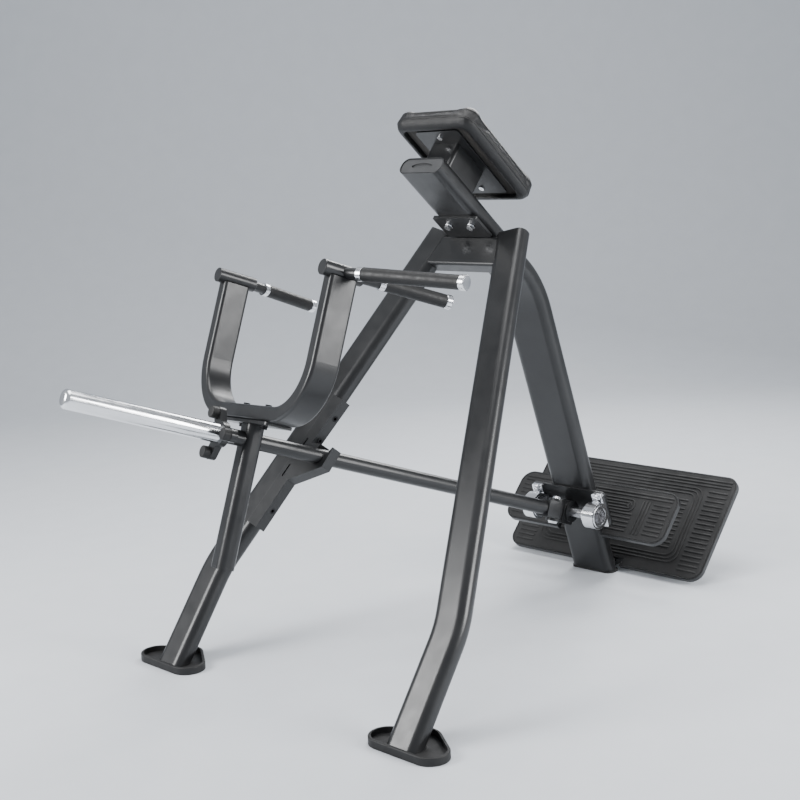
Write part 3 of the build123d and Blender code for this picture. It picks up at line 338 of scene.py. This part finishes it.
def rib_column(bm, plane, middle_u, width, start, end, count):
    """Short level ribs, one above the other, on both sides of the middle."""
    for i in range(count):
        v = start + (end - start) * (i + 0.5) / count
        for side in (-1, 1):
            add_bar(bm, plane, side * middle_u, v, width, RIB_WIDE, RIB_RISE)


def long_ribs(bm, plane, width, length, count):
    for i in range(count):
        add_bar(bm, plane, 0, length - EDGE_MARGIN - i * 2 * RIB_WIDE, width - 2 * EDGE_MARGIN,
                RIB_WIDE, RIB_RISE)
    return length - EDGE_MARGIN - count * 2 * RIB_WIDE


def nested_rings(bm, plane, v, width, height, corner, count, step):
    for i in range(count):
        shrink = 2 * step * i
        add_ring(bm, plane, 0, v, width - shrink, height - shrink, corner - i * step / 3,
                 LINE_WIDE, RIB_RISE)


plane, width, length = mat_plane("large_foot_mat")
ribs = bmesh.new()
top = long_ribs(ribs, plane, width, length, 3)
inset, across_ribs = LARGE_OUTER
rib_column(ribs, plane, width / 2 - inset, across_ribs, EDGE_MARGIN, top, 18)
ring_v = (LARGE_RINGS_START + top) / 2
ring_high = top - LARGE_RINGS_START
nested_rings(ribs, plane, ring_v, width - LARGE_RING_INSETS[0], ring_high,
             LARGE_RING_CORNERS[0], LINE_COUNT, LINE_STEP)
inset, across_ribs = LARGE_INNER
rib_column(ribs, plane, width / 2 - inset, across_ribs, LARGE_INNER_START,
           top - LARGE_INNER_BELOW_TOP, 12)
nested_rings(ribs, plane, ring_v, width - LARGE_RING_INSETS[1],
             ring_high - LARGE_INNER_RING_SHORTER, LARGE_RING_CORNERS[1], LINE_COUNT, LINE_STEP)
large_ribs = new_piece("large_mat_ribs", ribs, "foot_rubber", "frame")
soften(large_ribs, RIB_EDGE)

plane, width, length = mat_plane("small_foot_mat")
ribs = bmesh.new()
top = long_ribs(ribs, plane, width, length, 2)
inset, across_ribs = SMALL_OUTER
rib_column(ribs, plane, width / 2 - inset, across_ribs, EDGE_MARGIN, top, 8)
for step in range(LINE_COUNT):
    for side in (-1, 1):
        u = side * (width / 2 - SMALL_LINES_IN - step * LINE_STEP)
        add_bar(ribs, plane, u, (EDGE_MARGIN + top) / 2, LINE_WIDE, top - EDGE_MARGIN, RIB_RISE)
inner_u = (width / 2 - SMALL_INNER_SIDE + NOTCH_HALF) / 2
inner_wide = width / 2 - SMALL_INNER_GAP - NOTCH_HALF
rib_column(ribs, plane, inner_u, inner_wide, EDGE_MARGIN, NOTCH_HIGH, 5)
centre_high = top - NOTCH_HIGH
nested_rings(ribs, plane, NOTCH_HIGH + centre_high / 2, width - SMALL_RING_INSET, centre_high,
             SMALL_RING_CORNER, LINE_COUNT, SMALL_RING_STEP)
small_ribs = new_piece("small_mat_ribs", ribs, "foot_rubber", "frame")
soften(small_ribs, RIB_EDGE)

# ------------------------------------------------------------ chest pad
PAD_CELL = 0.005
PAD_LENGTH = 0.345
PAD_WIDTH = 0.272
PAD_THICK = 0.066
PAD_CAP = 0.007
PAD_SHRINK = 0.985
PAD_CROWN = 0.005
PINNED_BELOW = -0.012
pad_middle = middle("chest_pad")
pad_axes = axes(pad_middle, across, neck_up, neck_out)
to_pad = pad_axes.inverted()


def bake(piece):
    """Applies the piece's modifiers."""
    graph = bpy.context.evaluated_depsgraph_get()
    mesh = bpy.data.meshes.new_from_object(piece.evaluated_get(graph))
    piece.modifiers.clear()
    piece.data = mesh


def inflate(piece):
    """Swells the cover with cloth under pressure, its back edge held, and caps each move."""
    held = piece.vertex_groups.new(name="held")
    held.add([v.index for v in piece.data.vertices if (to_pad @ v.co).z < PINNED_BELOW], 1.0, "REPLACE")
    start = [v.co.copy() for v in piece.data.vertices]
    cloth = piece.modifiers.new("cloth", "CLOTH")
    cloth.settings.use_pressure = True
    cloth.settings.uniform_pressure_force = 4.0
    cloth.settings.effector_weights.gravity = 0.0
    cloth.settings.vertex_group_mass = "held"
    cloth.settings.quality = 5
    for step in range(1, 21):
        bpy.context.scene.frame_set(step)
    bake(piece)
    for vertex, before in zip(piece.data.vertices, start):
        move = vertex.co - before
        if move.length > PAD_CAP:
            vertex.co = before + move.normalized() * PAD_CAP
    bpy.context.scene.frame_set(1)


pad = bpy.data.objects.new("pad_cushion", nodes["chest_pad"].data.copy())
bpy.context.scene.collection.objects.link(pad)
for vertex in pad.data.vertices:
    local = to_pad @ vertex.co
    rise = max(local.z / (PAD_THICK / 2), 0)
    crown = (1 - (2 * local.x / PAD_WIDTH) ** 2) * (1 - (2 * local.y / PAD_LENGTH) ** 2)
    local = Vector((local.x * PAD_SHRINK, local.y * PAD_SHRINK, local.z))
    vertex.co = pad_axes @ (local + Vector((0, 0, PAD_CROWN * rise * max(crown, 0))))
remesh = pad.modifiers.new("remesh", "REMESH")
remesh.mode = "VOXEL"
remesh.voxel_size = PAD_CELL
bake(pad)
inflate(pad)
smooth = pad.modifiers.new("smooth", "SMOOTH")
smooth.iterations = 3
smooth.factor = 0.5
bake(pad)
for vertex in pad.data.vertices:
    local = to_pad @ vertex.co
    if local.z > 0:
        crown = math.cos(math.pi * local.x / PAD_WIDTH) * math.cos(math.pi * local.y / PAD_LENGTH)
        vertex.co += neck_out * PAD_CROWN * max(crown, 0)
pad.data.materials.clear()
pad.data.materials.append(finishes["pad_cover"])
for face in pad.data.polygons:
    face.use_smooth = True
    face.material_index = 0
pad.modifiers.new("subdivide", "SUBSURF").levels = 1
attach(pad, "frame")
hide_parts("chest_pad")

# sewn seams: a welt where the top panel and where the back panel join the side band
SEAM_RADIUS = 0.0013
SEAM_HEIGHTS = (-0.013, 0.014)
SEAM_POINTS = 180
STITCH = (0.0034, 0.0009, 0.0008)
STITCH_OFFSET = 0.0042
STITCH_EDGE = 0.0003
graph = bpy.context.evaluated_depsgraph_get()
surface = BVHTree.FromObject(pad, graph)
stitches = bmesh.new()


def on_pad(angle, height):
    """Where a ray from outside the pad, level with its face, meets the cover."""
    reach = Vector((math.cos(angle) * PAD_WIDTH, math.sin(angle) * PAD_LENGTH, 0))
    start = pad_axes @ (reach + Vector((0, 0, height)))
    inward = (pad_axes.to_3x3() @ -reach).normalized()
    return surface.ray_cast(start, inward)


for number, height in enumerate(SEAM_HEIGHTS):
    path = bpy.data.curves.new(f"pad_welt_{number}", "CURVE")
    path.dimensions = "3D"
    path.bevel_depth = SEAM_RADIUS
    path.bevel_resolution = 3
    line = path.splines.new("POLY")
    line.points.add(SEAM_POINTS - 1)
    for i in range(SEAM_POINTS):
        angle = 2 * math.pi * i / SEAM_POINTS
        spot, normal = on_pad(angle, height)[:2]
        line.points[i].co = (*spot, 1)
        toward = math.copysign(STITCH_OFFSET, -height)
        spot, normal = on_pad(angle, height + toward)[:2]
        along = neck_out.cross(normal).normalized()
        seat = axes(spot, along, normal.cross(along), normal)
        add_bar(stitches, seat, 0, 0, *STITCH)
    line.use_cyclic_u = True
    welt = bpy.data.objects.new(f"pad_welt_{number}", path)
    bpy.context.scene.collection.objects.link(welt)
    path.materials.append(finishes["pad_cover"])
    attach(welt, "frame")
pad_stitches = new_piece("pad_stitches", stitches, "pad_cover", "frame")
soften(pad_stitches, STITCH_EDGE)

# ------------------------------------------------------------ small details
# a hex set screw near the weight sleeve's tip
SCREW_RADIUS = 0.0036
SCREW_RISE = 0.0004
SCREW_EDGE = 0.0001
SLEEVE_RADIUS = 0.025
SLEEVE_SPOT = 0.16           # from the sleeve's middle towards its tip
screws = bmesh.new()
sleeve_side = knuckle_up.cross(lever_ahead).normalized()
out = (-sleeve_side * 0.6 + knuckle_up * 0.8).normalized()
spot = middle("weight_sleeve") + lever_ahead * SLEEVE_SPOT + out * SLEEVE_RADIUS
add_disc(screws, axes(spot, lever_ahead, out.cross(lever_ahead), out), SCREW_RADIUS, SCREW_RISE, 6)
sleeve_screw = new_piece("sleeve_screw", screws, "black_bolt", "lever")
soften(sleeve_screw, SCREW_EDGE)

# ------------------------------------------------------------ stage
FLOOR_REACH = 9.0
WALL_HIGH = 6.0
COVE = 2.5
BACKDROP = 5.5
STEPS = 24
CAMERA_TURN = math.radians(-46.5)
away = Vector((-math.sin(CAMERA_TURN), math.cos(CAMERA_TURN), 0))
level = Vector((math.cos(CAMERA_TURN), math.sin(CAMERA_TURN), 0))
profile = [(-FLOOR_REACH, 0.0)]
for i in range(STEPS + 1):
    angle = math.pi / 2 * i / STEPS
    profile.append((BACKDROP - COVE + COVE * math.sin(angle), COVE * (1 - math.cos(angle))))
profile.append((BACKDROP, WALL_HIGH))
sweep = bmesh.new()
columns = []
for side in (-FLOOR_REACH, FLOOR_REACH):
    columns.append([sweep.verts.new(away * x + level * side + Vector((0, 0, z))) for x, z in profile])
for i in range(len(profile) - 1):
    sweep.faces.new((columns[0][i], columns[1][i], columns[1][i + 1], columns[0][i + 1]))
mesh = bpy.data.meshes.new("studio_floor")
sweep.to_mesh(mesh)
sweep.free()
floor = bpy.data.objects.new("studio_floor", mesh)
bpy.context.scene.collection.objects.link(floor)
for face in mesh.polygons:
    face.use_smooth = True
mesh.materials.append(coated("studio_paper", (0.6, 0.625, 0.66), (0.62, 0.645, 0.68),
                             (0.85, 0.9), 300.0, 0.00002))

# ------------------------------------------------------------ light
world = bpy.data.worlds.new("studio")
world.use_nodes = True
world.node_tree.nodes["Background"].inputs["Color"].default_value = (0.84, 0.88, 0.94, 1)
world.node_tree.nodes["Background"].inputs["Strength"].default_value = 0.55
bpy.context.scene.world = world
aim = (cad_low + cad_high) / 2


def softbox(name, spot, size, power):
    """A square area light at the spot, facing the machine."""
    lamp = bpy.data.lights.new(name, "AREA")
    lamp.size = size
    lamp.energy = power
    light = bpy.data.objects.new(name, lamp)
    light.location = spot
    light.rotation_mode = "QUATERNION"
    light.rotation_quaternion = (aim - light.location).to_track_quat("-Z", "Y")
    bpy.context.scene.collection.objects.link(light)


softbox("overhead", aim + Vector((0.2, 0, 3.2)), 2.6, 120)
softbox("left_key", aim - level * 3.2 - away * 1.2 + Vector((0, 0, 1.4)), 1.6, 150)
softbox("right_key", aim + level * 3.0 - away * 1.6 + Vector((0, 0, 0.9)), 1.6, 130)
softbox("rim", aim + away * 2.6 + level * 1.2 + Vector((0, 0, 2.0)), 1.4, 90)

# ------------------------------------------------------------ camera
CAMERA_SPOT = Vector((-3.347, -2.357, 1.300))
CAMERA_DOWN = math.radians(10.3)
CAMERA_ROLL = math.radians(-2.4)
FOCAL = 60.12
SENSOR = 36.0
back = Vector((
    math.sin(CAMERA_TURN) * math.cos(CAMERA_DOWN),
    -math.cos(CAMERA_TURN) * math.cos(CAMERA_DOWN),
    math.sin(CAMERA_DOWN),
))
up = back.cross(level)
right = level * math.cos(CAMERA_ROLL) + up * math.sin(CAMERA_ROLL)
camera_data = bpy.data.cameras.new("camera")
camera_data.sensor_width = SENSOR
camera_data.lens = FOCAL
camera = bpy.data.objects.new("camera", camera_data)
camera.matrix_world = axes(CAMERA_SPOT, right, back.cross(right), back)
bpy.context.scene.collection.objects.link(camera)
bpy.context.scene.camera = camera
